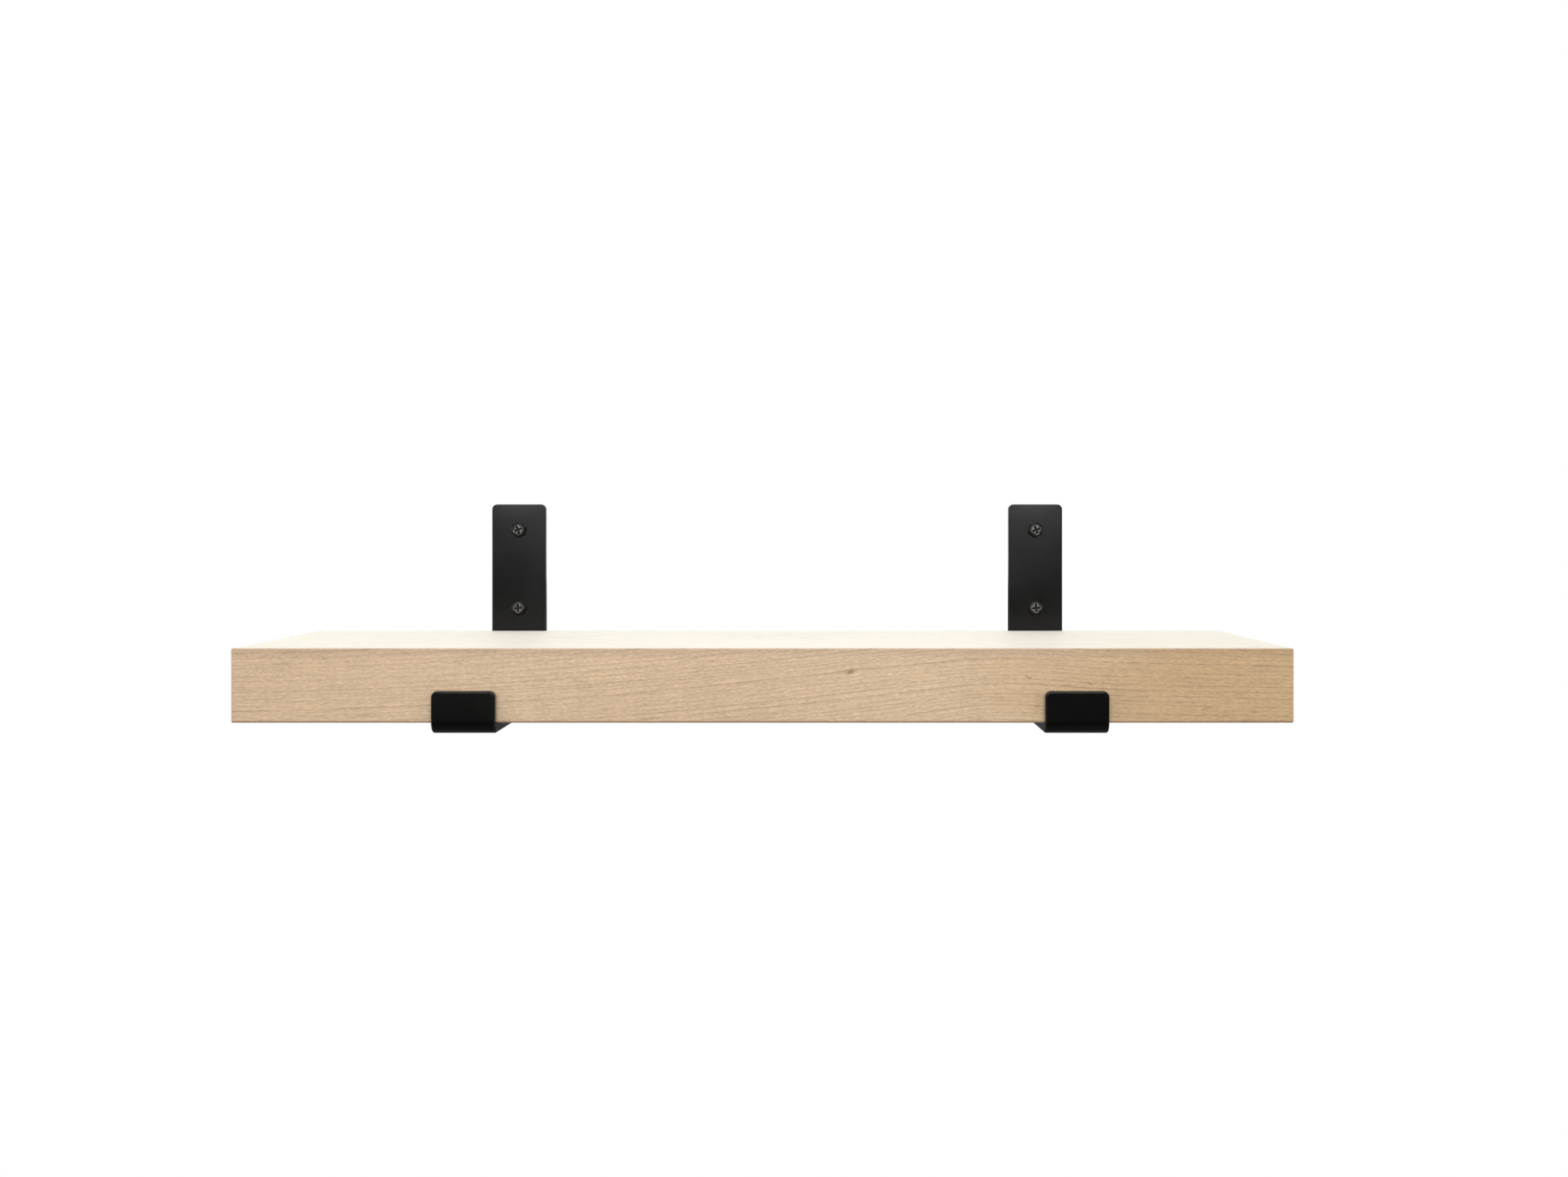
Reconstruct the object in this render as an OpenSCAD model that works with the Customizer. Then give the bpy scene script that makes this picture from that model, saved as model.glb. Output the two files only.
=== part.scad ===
// Wall shelf: a solid hardwood board carried by two bent steel brackets, in millimetres.
//
// +X runs along the wall, +Y points into the wall and +Z points up. The origin is on the
// wall, in the middle of the four wall screws. The board's front faces -Y.

/* [Board] */
// Length of the board, along the wall
board_length = 635; // [450:5:1200]
// Depth of the board, out from the wall
board_depth = 203.2; // [140:0.1:300]
// Thickness of the board
board_thickness = 44.45; // [34:0.05:70]
// Radius of the eased edges of the board
board_edge = 1; // [0.5:0.1:2]
// Distance of the board's middle from the middle of the two brackets
board_offset = -4.8; // [-30:0.1:30]

/* [Brackets] */
// Distance between the middles of the two brackets
bracket_spacing = 365; // [250:1:450]
// Width of the steel strip
steel_width = 38.1; // [25:0.1:60]
// Thickness of the steel strip
steel_thickness = 6; // [4:0.1:8]
// Inside radius of the two bends
bend_radius = 2; // [1:0.1:4]
// Height of the wall plate above the board's top face
plate_rise = 89.25; // [60:0.05:150]
// Height of the front lip, from the underside of the arm
lip_height = 25.4; // [18:0.1:35]
// Radius of the two top corners of the wall plate, and of the lip
corner_radius = 3.5; // [1:0.1:6]
// Least gap from the board to the wall plate behind it, and to the lip in front of it
board_gap = 1.2; // [0.5:0.1:4]

/* [Wall screws] */
// Diameter of the wall plate's holes
wall_hole_d = 7; // [6.8:0.1:8]
// Distance of the upper hole below the top of the wall plate
upper_hole_drop = 18; // [12:0.5:30]
// Height of the lower hole above the board's top face
lower_hole_rise = 16.25; // [12:0.05:30]
// Diameter of the screw under its head, where it fills the hole
wall_neck_d = 6.6; // [5.5:0.1:6.6]
// Diameter of the plain shank that enters the wall
wall_shank_d = 6.2; // [5.4:0.1:6.2]
// Diameter over the thread
wall_thread_d = 5.8; // [5:0.1:6]
// Diameter at the root of the thread
wall_root_d = 4.2; // [3.5:0.1:4.6]
// Pitch of the thread
wall_thread_pitch = 2.8; // [2:0.1:3.5]
// Length of the screw under its head
wall_screw_length = 63; // [45:1:100]
// Length of the plain shank, measured from the wall
wall_shank_length = 16; // [8:1:24]
// Width of the hexagon head across its flats
hex_flats = 9.5; // [9:0.1:13]
// Diameter of the flat face on the hexagon head, inside its chamfer
hex_face_d = 8; // [7:0.1:8.6]
// Height of the hexagon head
hex_height = 4.4; // [4:0.1:6]

/* [Board screws] */
// Diameter of the arm's holes
arm_hole_d = 5.5; // [5.1:0.1:7]
// Distance of each arm hole from the board's back edge, and from its front edge
arm_hole_inset = 48; // [30:1:60]
// Diameter of the screw's thread and plain shank
board_screw_d = 4.8; // [4:0.1:5]
// Diameter at the root of the thread
board_root_d = 3.3; // [2.5:0.1:3.6]
// Pitch of the thread
board_thread_pitch = 2.1; // [1.6:0.1:2.6]
// Length of the screw under its head
board_screw_length = 30; // [24:1:35]
// Length of the plain shank beyond the arm
board_shank_length = 4; // [1:0.5:4]
// Diameter of the pan head
pan_d = 9.4; // [8:0.1:11]
// Height of the pan head
pan_height = 3; // [2.4:0.1:4]

/* [Hidden] */
$fn = 48;

// How far a cutting shape runs past the face it cuts.
past = 1;
LEFT = -1;
RIGHT = 1;

// Heights. The origin is halfway between the upper and the lower wall screws.
hole_pitch = plate_rise - upper_hole_drop - lower_hole_rise;
upper_hole_z = hole_pitch / 2;
lower_hole_z = -hole_pitch / 2;
plate_top = upper_hole_z + upper_hole_drop;
board_top = plate_top - plate_rise;
board_bottom = board_top - board_thickness;
arm_bottom = board_bottom - steel_thickness;
lip_top = arm_bottom + lip_height;

// The board's eased bottom edges have to clear the rounding inside the two bends.
board_clearance = max(board_gap, bend_radius - board_edge);

// Distances from the wall, at y = 0, out to the room.
plate_front = -steel_thickness;
board_back = plate_front - board_clearance;
board_front = board_back - board_depth;
lip_back = board_front - board_clearance;
lip_front = lip_back - steel_thickness;
back_screw_y = board_back - arm_hole_inset;
front_screw_y = board_front + arm_hole_inset;

// Bends. The outside of a bend runs round the same centre as its inside.
outer_bend_radius = bend_radius + steel_thickness;

// Screws. A pilot hole takes the whole screw with a little room round it and past its point.
pilot_clearance = 0.05;
pilot_end_room = 1;
pilot_d = board_screw_d + 2 * pilot_clearance;
pilot_depth = board_screw_length - steel_thickness + pilot_end_room;
// Length of a screw's point, in root diameters.
point_ratio = 1.6;
// Share of the pitch that a thread ridge takes, from one foot to the other.
ridge_share = 0.7;
// Slope of the chamfer on the hexagon head's corners.
chamfer_angle = 30;
// Cross recesses: the length and width of one arm of the cross, and its depth.
hex_cross = [5.2, 1.3, 2.2];
pan_cross = [5, 1.2, 1.8];
// Where each screw stopped turning: the angle of its head.
upper_turn = 20;
lower_turn = 5;
back_turn = 30;
front_turn = 65;

steel_black = [0.05, 0.05, 0.05];
screw_black = [0.16, 0.16, 0.16];
maple = [0.82, 0.70, 0.57];

// A rectangle about the middle of its sides, with four round corners.
module rounded_rectangle(size, radius) {
    square([size[0] - 2 * radius, size[1]], center = true);
    square([size[0], size[1] - 2 * radius], center = true);
    for (sx = [-1, 1], sy = [-1, 1])
        translate([sx * (size[0] / 2 - radius), sy * (size[1] / 2 - radius)])
            circle(r = radius);
}

// The room between two upright lines and above a floor line, with its two lower corners round.
module round_bottomed(from, to, radius) {
    width = to[0] - from[0];
    height = to[1] - from[1];
    translate([from[0], from[1] + radius])
        square([width, height - radius]);
    translate([from[0] + radius, from[1]])
        square([width - 2 * radius, height]);
    for (x = [from[0] + radius, to[0] - radius])
        translate([x, from[1] + radius])
            circle(r = radius);
}

// Turns a flat drawing of (y, z) into a solid along X.
module along_x(length) {
    rotate([90, 0, 90])
        linear_extrude(height = length, center = true)
            children();
}

// Turns a flat drawing of (x, z) into a solid along Y.
module along_y(length) {
    rotate([90, 0, 0])
        linear_extrude(height = length, center = true)
            children();
}

// The block with every edge eased by the same radius.
module eased_block(size, radius) {
    intersection() {
        along_x(size[0]) rounded_rectangle([size[1], size[2]], radius);
        along_y(size[1]) rounded_rectangle([size[0], size[2]], radius);
        linear_extrude(height = size[2], center = true)
            rounded_rectangle([size[0], size[1]], radius);
    }
}

// What is taken off the two top corners of a strip whose middle is at x = 0 and whose end is at z = 0.
module corner_waste(width, radius) {
    for (side = [-1, 1])
        translate([side * (width / 2 - radius), -radius])
            difference() {
                translate([side > 0 ? 0 : -radius - past, 0])
                    square([radius + past, radius + past]);
                circle(r = radius);
            }
}

// Side view of the bent strip: wall plate, arm and front lip, as one line of steel.
module strip_side_view() {
    difference() {
        round_bottomed([lip_front, arm_bottom], [0, plate_top], outer_bend_radius);
        round_bottomed([lip_back, board_bottom], [plate_front, plate_top + past], bend_radius);
        translate([lip_front - past, lip_top])
            square([steel_thickness + 2 * past, plate_top - lip_top + past]);
    }
}

// One bracket with its middle at x = 0.
module bracket() {
    hole_length = steel_thickness + 2 * past;
    difference() {
        along_x(steel_width) strip_side_view();
        translate([0, plate_front / 2, plate_top])
            along_y(hole_length) corner_waste(steel_width, corner_radius);
        translate([0, lip_front + steel_thickness / 2, lip_top])
            along_y(hole_length) corner_waste(steel_width, corner_radius);
        for (z = [upper_hole_z, lower_hole_z])
            translate([0, plate_front / 2, z])
                rotate([90, 0, 0])
                    cylinder(d = wall_hole_d, h = hole_length, center = true);
        for (y = [back_screw_y, front_screw_y])
            translate([0, y, arm_bottom + steel_thickness / 2])
                cylinder(d = arm_hole_d, h = hole_length, center = true);
    }
}

// The ridges of a thread from one height to another, as (radius, height) points.
function ridges(from, to, root, crest, pitch) =
    let (count = floor((to - from) / pitch))
    [
        for (i = [0 : count - 1])
            let (z = from + i * pitch)
            each [
                [root, z],
                [crest, z + ridge_share * pitch / 2],
                [root, z + ridge_share * pitch]
            ]
    ];

// A screw's body, pointing up from its head at z = 0. Each step of the plain part is [radius, length].
module screw_body(steps, crest, root, pitch, length) {
    plain_end = steps[0][1] + steps[1][1];
    point_start = length - 2 * root * point_ratio;
    outline = concat(
        [[0, 0], [steps[0][0], 0], [steps[0][0], steps[0][1]], [steps[1][0], steps[0][1]],
         [steps[1][0], plain_end]],
        ridges(plain_end, point_start, root, crest, pitch),
        [[root, point_start], [0, length]]
    );
    rotate_extrude() polygon(outline);
}

// A cross-shaped recess that goes down from z = 0. The size is [arm length, arm width, depth].
module cross_recess(size) {
    for (turn = [0, 90])
        rotate(turn)
            translate([-size[0] / 2, -size[1] / 2, -size[2]])
                cube([size[0], size[1], size[2] + past]);
}

// A hexagon head that stands up from z = 0.
module hex_head(turn) {
    corner = hex_flats / sqrt(3);
    chamfer = (corner - hex_face_d / 2) * tan(chamfer_angle);
    rotate(turn)
        difference() {
            intersection() {
                cylinder(r = corner, h = hex_height, $fn = 6);
                union() {
                    cylinder(r = corner + past, h = hex_height - chamfer);
                    translate([0, 0, hex_height - chamfer])
                        cylinder(r1 = corner, r2 = hex_face_d / 2, h = chamfer);
                }
            }
            translate([0, 0, hex_height]) cross_recess(hex_cross);
        }
}

// A pan head that stands up from z = 0: a straight rim under a shallow dome.
module pan_head(turn) {
    dome_radius = pan_d;
    rotate(turn)
        difference() {
            intersection() {
                cylinder(d = pan_d, h = pan_height);
                translate([0, 0, pan_height - dome_radius]) sphere(r = dome_radius);
            }
            translate([0, 0, pan_height]) cross_recess(pan_cross);
        }
}

// A wall screw in its hole, with its head against the wall plate.
module wall_screw(side, z, turn) {
    translate([side * bracket_spacing / 2, plate_front, z]) {
        rotate([-90, 0, 0])
            screw_body(
                [[wall_neck_d / 2, steel_thickness], [wall_shank_d / 2, wall_shank_length]],
                wall_thread_d / 2, wall_root_d / 2, wall_thread_pitch, wall_screw_length
            );
        rotate([90, 0, 0]) hex_head(turn);
    }
}

// A board screw in its hole, with its head against the underside of the arm.
module board_screw(side, y, turn) {
    translate([side * bracket_spacing / 2, y, arm_bottom]) {
        screw_body(
            [[board_screw_d / 2, steel_thickness], [board_screw_d / 2, board_shank_length]],
            board_screw_d / 2, board_root_d / 2, board_thread_pitch, board_screw_length
        );
        rotate([180, 0, 0]) pan_head(turn);
    }
}

module board() {
    color(maple)
        difference() {
            translate([board_offset, (board_back + board_front) / 2, (board_top + board_bottom) / 2])
                eased_block([board_length, board_depth, board_thickness], board_edge);
            for (side = [LEFT, RIGHT], y = [back_screw_y, front_screw_y])
                translate([side * bracket_spacing / 2, y, board_bottom - past])
                    cylinder(d = pilot_d, h = pilot_depth + past);
        }
}

module left_bracket() {
    color(steel_black) translate([LEFT * bracket_spacing / 2, 0, 0]) bracket();
}

module right_bracket() {
    color(steel_black) translate([RIGHT * bracket_spacing / 2, 0, 0]) bracket();
}

module left_upper_wall_screw() {
    color(screw_black) wall_screw(LEFT, upper_hole_z, upper_turn);
}

module left_lower_wall_screw() {
    color(screw_black) wall_screw(LEFT, lower_hole_z, lower_turn);
}

module right_upper_wall_screw() {
    color(screw_black) wall_screw(RIGHT, upper_hole_z, upper_turn);
}

module right_lower_wall_screw() {
    color(screw_black) wall_screw(RIGHT, lower_hole_z, lower_turn);
}

module left_back_board_screw() {
    color(screw_black) board_screw(LEFT, back_screw_y, back_turn);
}

module left_front_board_screw() {
    color(screw_black) board_screw(LEFT, front_screw_y, front_turn);
}

module right_back_board_screw() {
    color(screw_black) board_screw(RIGHT, back_screw_y, back_turn);
}

module right_front_board_screw() {
    color(screw_black) board_screw(RIGHT, front_screw_y, front_turn);
}

board();
left_bracket();
right_bracket();
left_upper_wall_screw();
left_lower_wall_screw();
right_upper_wall_screw();
right_lower_wall_screw();
left_back_board_screw();
left_front_board_screw();
right_back_board_screw();
right_front_board_screw();
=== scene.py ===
"""A wall shelf: a thick maple board on two brackets bent from flat steel, with its wall and board screws."""

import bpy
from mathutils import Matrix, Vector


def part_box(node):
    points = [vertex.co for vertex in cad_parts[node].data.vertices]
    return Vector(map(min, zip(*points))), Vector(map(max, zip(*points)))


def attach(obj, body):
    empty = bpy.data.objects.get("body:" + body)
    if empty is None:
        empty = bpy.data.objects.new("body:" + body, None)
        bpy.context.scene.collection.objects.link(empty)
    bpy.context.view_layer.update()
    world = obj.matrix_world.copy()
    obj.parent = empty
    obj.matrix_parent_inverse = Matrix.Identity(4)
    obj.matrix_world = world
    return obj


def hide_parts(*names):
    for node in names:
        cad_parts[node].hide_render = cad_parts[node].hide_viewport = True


bl_info = {
    "name": "Wall Shelf Maker",
    "version": (1, 0, 0),
    "blender": (4, 5, 0),
    "location": "View3D > Sidebar > Shelf",
    "description": "Makes a maple wall shelf and its bent steel brackets in their places on the CAD frame",
    "category": "Object",
}

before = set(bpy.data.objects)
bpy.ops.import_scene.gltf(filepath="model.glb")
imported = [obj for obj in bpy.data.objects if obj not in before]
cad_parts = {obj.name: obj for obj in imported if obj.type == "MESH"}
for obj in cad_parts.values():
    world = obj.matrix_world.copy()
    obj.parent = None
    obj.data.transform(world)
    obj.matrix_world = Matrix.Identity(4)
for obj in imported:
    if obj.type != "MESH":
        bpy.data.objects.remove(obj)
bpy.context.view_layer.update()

import itertools
import math
from functools import partialmethod

import bmesh
import bpy
from bpy.props import FloatProperty, FloatVectorProperty, PointerProperty
from mathutils import Vector

MM = 0.001
QUARTER_TURN = math.pi / 2
BODY = "root"

# What the frame fixes, in metres.
BOARD_LOW, BOARD_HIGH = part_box("board")
BOARD_MIDDLE = (BOARD_LOW + BOARD_HIGH) / 2
STEEL_LOW, STEEL_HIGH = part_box("left_bracket")
STEEL_THICKNESS = BOARD_LOW.z - STEEL_LOW.z
SIDES = ("left", "right")
LEVELS = ("upper", "lower")
ENDS = ("back", "front")

# The maple. The rise of the grain along the board is given as (share of the length, share of the rise),
# and the small dark marks in the front as (x, z, half length) in millimetres.
GRAIN_RISE = (
    (0.0, 0.0), (0.22, 0.13), (0.34, 0.27), (0.52, 0.62), (0.66, 0.9), (0.73, 0.97), (0.83, 0.93), (1.0, 0.86)
)
PIN_MARKS = ((154.1, -60.9, 2.4), (191.0, -65.0, 2.0), (252.0, -76.3, 1.8))
SWELL_REACH = 22 * MM
KNOT_DEPTH = 20 * MM
WANDER_SLOW = 9 * MM
WANDER_QUICK = 1.1 * MM
RING_ARM = 0.3
WOOD_ROUGHNESS = 0.48
WOOD_SHEEN = 0.6
WOOD_SHEEN_ROUGHNESS = 0.4
BOARD_PARTS = (64, 20, 6)
DRILL_SIDES = 24
BOARD_CREASE = math.radians(50)
WAVER_SCALE = (34.0, 34.0, 34.0)

# The steel strip. A cell is half the side of the square that a hole is cut in, and the first line across
# the strip is three corner radii from its end.
COAT_SPECULAR = 0.2
HOLE_CELL = 7 * MM
CORNERS_TO_LINE = 3
SAME_PLACE = 0.001 * MM
NEAR_RIM = 0.01 * MM
RIM_ANGLE = math.radians(60)
HOLE_STEPS = 8
CORNER_STEPS = 5
BEND_STEPS = 14
EDGE_STEPS = 4
WORN_BESIDE_EDGE = 0.4

# The screws.
SCREW_SPECULAR = 0.3
HEAD_STEPS = 96
SOFT_EDGE = 0.18 * MM
BLUNT_CORNER = 0.975
CHAMFER_SLOPE = math.tan(math.radians(30))
CROSS_TAPER = 0.6
SHANK_STEPS = 32
ROWS_PER_TURN = 10
RIDGE_SHARE = 0.7
RIDGE_FLAT = 0.12
STEP_LENGTH = 0.6 * MM
POINT_CURVE = 0.75
BURIED = 0.5 * MM
SEAM = 0.002 * MM
SCREW_CREASE = math.radians(48)
# The sizes that both kinds of screw have, as (wall screws, board screws, what it is), in millimetres.
HEAD_SIZES = {
    "Head height": (4.4, 3, "Height of the head"),
    "Cross length": (5.6, 5, "Length of one arm of the cross recess"),
    "Cross width": (1.5, 1.34, "Width of one arm of the cross recess"),
    "Cross depth": (2.2, 1.8, "Depth of the cross recess"),
}
SHANK_SIZES = {
    "Length": (63, 30, "Length under the head"),
    "Neck radius": (3.3, 2.4, "Radius in the steel's hole"),
    "Neck length": (6, 6, "Length in the steel's hole"),
    "Shank radius": (3.1, 2.4, "Radius of the plain shank"),
    "Shank length": (16, 4, "Length of the plain shank"),
    "Thread radius": (2.9, 2.4, "Radius over the thread"),
    "Root radius": (2.1, 1.65, "Radius at the root of the thread"),
    "Pitch": (2.8, 2.1, "Pitch of the thread"),
    "Point length": (6.7, 5.3, "Length of the point"),
}

# The stage. Softboxes are (name, setting with its power, place from the board's middle, size), in metres.
SOFTBOXES = (
    ("Overhead", "overhead", (0.0, -0.15, 1.5), (1.8, 1.3)),
    ("Front left", "front", (-1.55, -1.35, 0.5), (1.3, 1.1)),
    ("End left", "ends", (-1.9, 0.55, 0.2), (1.0, 1.0)),
    ("Front right", "front", (1.55, -1.35, 0.5), (1.3, 1.1)),
    ("End right", "ends", (1.9, 0.55, 0.2), (1.0, 1.0)),
)
BACKDROP_PLACE = Vector((0.0, 1.9, 0.75))
BACKDROP_SIZE = (3.6, 1.6)
BACKDROP_COLOUR = (0.87, 1.0, 0.86)
FLOOR_GREY = (0.3, 0.3, 0.3)
FLOOR_PALER_GREY = (0.34, 0.34, 0.34)
FLOOR_ROUGHNESS = 0.9
FLOOR_SIDES = 96
FLOOR_CLOUDS = (3.0, 3.0, 3.0)
WHITE = (1.0, 1.0, 1.0, 1.0)
SENSOR_WIDTH = 36.0

SHADER, SHAPE = "ShaderNodeTree", "GeometryNodeTree"
VECTOR, FLOAT = "NodeSocketVector", "NodeSocketFloat"
GEOMETRY, MATERIAL = "NodeSocketGeometry", "NodeSocketMaterial"
EVEN = (1.0, 1.0, 1.0)
SHADING_WEIGHT = 80


# ---------------------------------------------------------------- node trees


class Wire:
    """A value in a node tree. Wires add, subtract, multiply and divide as numbers do."""

    def __init__(self, tree, socket):
        self.tree = tree
        self.socket = socket

    def apply(self, operation, *others):
        """The result of one Math node on this wire and others."""
        return maths(operation, self, *others)

    __add__ = __radd__ = partialmethod(apply, "ADD")
    __sub__ = partialmethod(apply, "SUBTRACT")
    __mul__ = __rmul__ = partialmethod(apply, "MULTIPLY")
    __truediv__ = partialmethod(apply, "DIVIDE")
    __pow__ = partialmethod(apply, "POWER")
    least = partialmethod(apply, "MINIMUM")
    most = partialmethod(apply, "MAXIMUM")
    sin = partialmethod(apply, "SINE")
    cos = partialmethod(apply, "COSINE")
    size = partialmethod(apply, "ABSOLUTE")
    fraction = partialmethod(apply, "FRACT")
    whole = partialmethod(apply, "FLOOR")
    exp = partialmethod(apply, "EXPONENT")

    def __rsub__(self, other):
        return maths("SUBTRACT", other, self)

    def __neg__(self):
        return self * -1.0

    def between(self, low, high):
        return self.most(low).least(high)

    def bell(self):
        """One at zero, and falling off smoothly on both sides."""
        return (-(self * self)).exp()

    def ramp(self, low, high):
        """From zero at low to one at high, smoothly. High may be less than low."""
        ends = {"Value": self, "From Min": low, "From Max": high}
        return take(put(self.tree, "ShaderNodeMapRange", ends, interpolation_type="SMOOTHSTEP"))


def feed(socket, value):
    """Links a wire to a socket, or sets the socket to a plain value."""
    if isinstance(value, Wire):
        value.tree.links.new(value.socket, socket)
    else:
        socket.default_value = value


def fill(made, values):
    """Feeds a node's inputs, each by its name or its number."""
    for name, value in values.items():
        feed(made.inputs[name], value)
    return made


def put(tree, kind, inputs=None, **settings):
    """Adds one node with its settings, and feeds its inputs."""
    made = tree.nodes.new(kind)
    for name, value in settings.items():
        setattr(made, name, value)
    return fill(made, inputs or {})


def take(made, name=0):
    """The wire from one output of a node."""
    return Wire(made.id_data, made.outputs[name])


def tree_of(values):
    """The node tree that the first wire among some values is in."""
    return next(value.tree for value in values if isinstance(value, Wire))


def maths(operation, *values):
    """The result of one Math node on these values, wires or numbers."""
    return take(put(tree_of(values), "ShaderNodeMath", dict(enumerate(values)), operation=operation))


def vector_maths(operation, *values):
    """The vector result of one Vector Math node."""
    made = put(tree_of(values), "ShaderNodeVectorMath", dict(enumerate(values)), operation=operation)
    return take(made, "Vector")


def scaled(vector, factor):
    """A vector wire times a number that may be a wire too."""
    made = put(vector.tree, "ShaderNodeVectorMath", {0: vector, "Scale": factor}, operation="SCALE")
    return take(made, "Vector")


def split(vector):
    """The X, Y and Z of a vector wire."""
    made = put(vector.tree, "ShaderNodeSeparateXYZ", {0: vector})
    return [take(made, axis) for axis in range(3)]


def combine(*parts):
    """A vector wire from its X, Y and Z."""
    return take(put(tree_of(parts), "ShaderNodeCombineXYZ", dict(enumerate(parts))))


def noise(vector, scale, detail=2.0, roughness=0.5):
    """Smooth random values round one half, with the scale given for each axis, in features to the metre."""
    stretched = vector_maths("MULTIPLY", vector, scale)
    inputs = {"Vector": stretched, "Scale": 1.0, "Detail": detail, "Roughness": roughness}
    return take(put(vector.tree, "ShaderNodeTexNoise", inputs))


def new_tree(name, kind, inputs):
    """A node group and its inputs as wires. An input is given by its kind of socket, or by a number,
    which is its default."""
    tree = bpy.data.node_groups.new(name, kind)
    for label, given in inputs.items():
        if isinstance(given, str):
            tree.interface.new_socket(label, in_out="INPUT", socket_type=given)
        else:
            made = tree.interface.new_socket(label, in_out="INPUT", socket_type=FLOAT)
            made.default_value = given
    entry = put(tree, "NodeGroupInput")
    return tree, {label: take(entry, label) for label in inputs}


def give(tree, **outputs):
    """Ends a shader node group with its outputs. Underscores in their names stand for spaces."""
    wires = {name.replace("_", " "): wire for name, wire in outputs.items()}
    for name, wire in wires.items():
        kind = VECTOR if wire.socket.type == "VECTOR" else FLOAT
        tree.interface.new_socket(name, in_out="OUTPUT", socket_type=kind)
    fill(put(tree, "NodeGroupOutput"), wires)
    return tree


def give_shape(tree, geometry, material):
    """Ends a geometry node tree: no instances are left, and the material is set."""
    tree.interface.new_socket("Geometry", in_out="OUTPUT", socket_type=GEOMETRY)
    whole = put(tree, "GeometryNodeRealizeInstances", {"Geometry": geometry})
    done = put(tree, "GeometryNodeSetMaterial", {"Geometry": take(whole), "Material": material})
    put(tree, "NodeGroupOutput", {"Geometry": take(done)})
    return tree


def use(tree, group, **inputs):
    """Places a shader node group in a tree. Underscores in the input names stand for spaces."""
    made = put(tree, "ShaderNodeGroup", node_tree=group)
    return fill(made, {name.replace("_", " "): value for name, value in inputs.items()})


def opaque(colour):
    """A plain colour with its fourth value. A wire stays as it is."""
    return colour if isinstance(colour, Wire) else (*colour, 1.0)


def tint(colour, other, share):
    """One colour mixed with another, by a share that varies over the surface."""
    inputs = {0: share, 6: opaque(colour), 7: opaque(other)}
    return take(put(share.tree, "ShaderNodeMix", inputs, data_type="RGBA", clamp_factor=True), 2)


def shaded(colour, value):
    """A colour made lighter or darker: one leaves it as it is."""
    return take(put(value.tree, "ShaderNodeHueSaturation", {"Color": opaque(colour), "Value": value}))


# ---------------------------------------------------------------- shared surface effects


def wear_group():
    """Wear along edges: a mask that is one where handling has rubbed the finish thin."""
    inputs = {"Position": VECTOR, "Edge": 0.0, "Patches": 120.0, "Amount": 0.5}
    tree, given = new_tree("Edge wear", SHADER, inputs)
    patches = noise(scaled(given["Position"], given["Patches"]), EVEN, detail=4.0, roughness=0.65)
    return give(tree, Worn=(given["Edge"] * given["Amount"] * 1.6 + patches - 1.0).ramp(0.0, 0.35))


def speckle_group():
    """A fine even grain, as on sprayed or sanded surfaces, and a slow cloudiness over it."""
    tree, given = new_tree("Fine grain", SHADER, {"Position": VECTOR, "Grains": 1500.0, "Clouds": 25.0})
    grain = noise(scaled(given["Position"], given["Grains"]), EVEN, detail=3.0)
    cloud = noise(scaled(given["Position"], given["Clouds"]), EVEN, detail=3.0)
    return give(tree, Grain=grain, Cloud=cloud)


def worn_and_fine(tree, groups, position, patches, amount, grains, clouds):
    """Three wires: where the finish is worn along the edges, its fine grain, and its clouds."""
    edge = take(put(tree, "ShaderNodeAttribute", attribute_name="edge"), "Fac")
    wear = use(tree, groups["wear"], Position=position, Edge=edge, Patches=patches, Amount=amount)
    fine = use(tree, groups["speckle"], Position=position, Grains=grains, Clouds=clouds)
    return take(wear, "Worn"), take(fine, "Grain"), take(fine, "Cloud")


def new_material(name):
    """An empty material with its output and its Principled shader."""
    material = bpy.data.materials.new(name)
    material.use_nodes = True
    tree = material.node_tree
    tree.nodes.clear()
    shader = put(tree, "ShaderNodeBsdfPrincipled")
    put(tree, "ShaderNodeOutputMaterial", {"Surface": take(shader)})
    return material, tree, shader


def add_bump(shader, height, strength, distance):
    """Gives a shader its fine relief."""
    bump = put(height.tree, "ShaderNodeBump", {"Height": height, "Strength": strength, "Distance": distance})
    feed(shader.inputs["Normal"], take(bump))


# ---------------------------------------------------------------- maple


def share_along(x):
    """How far along the board a point is, from zero at its left end to one at its right end."""
    return (x - BOARD_LOW.x) / (BOARD_HIGH.x - BOARD_LOW.x)


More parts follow.
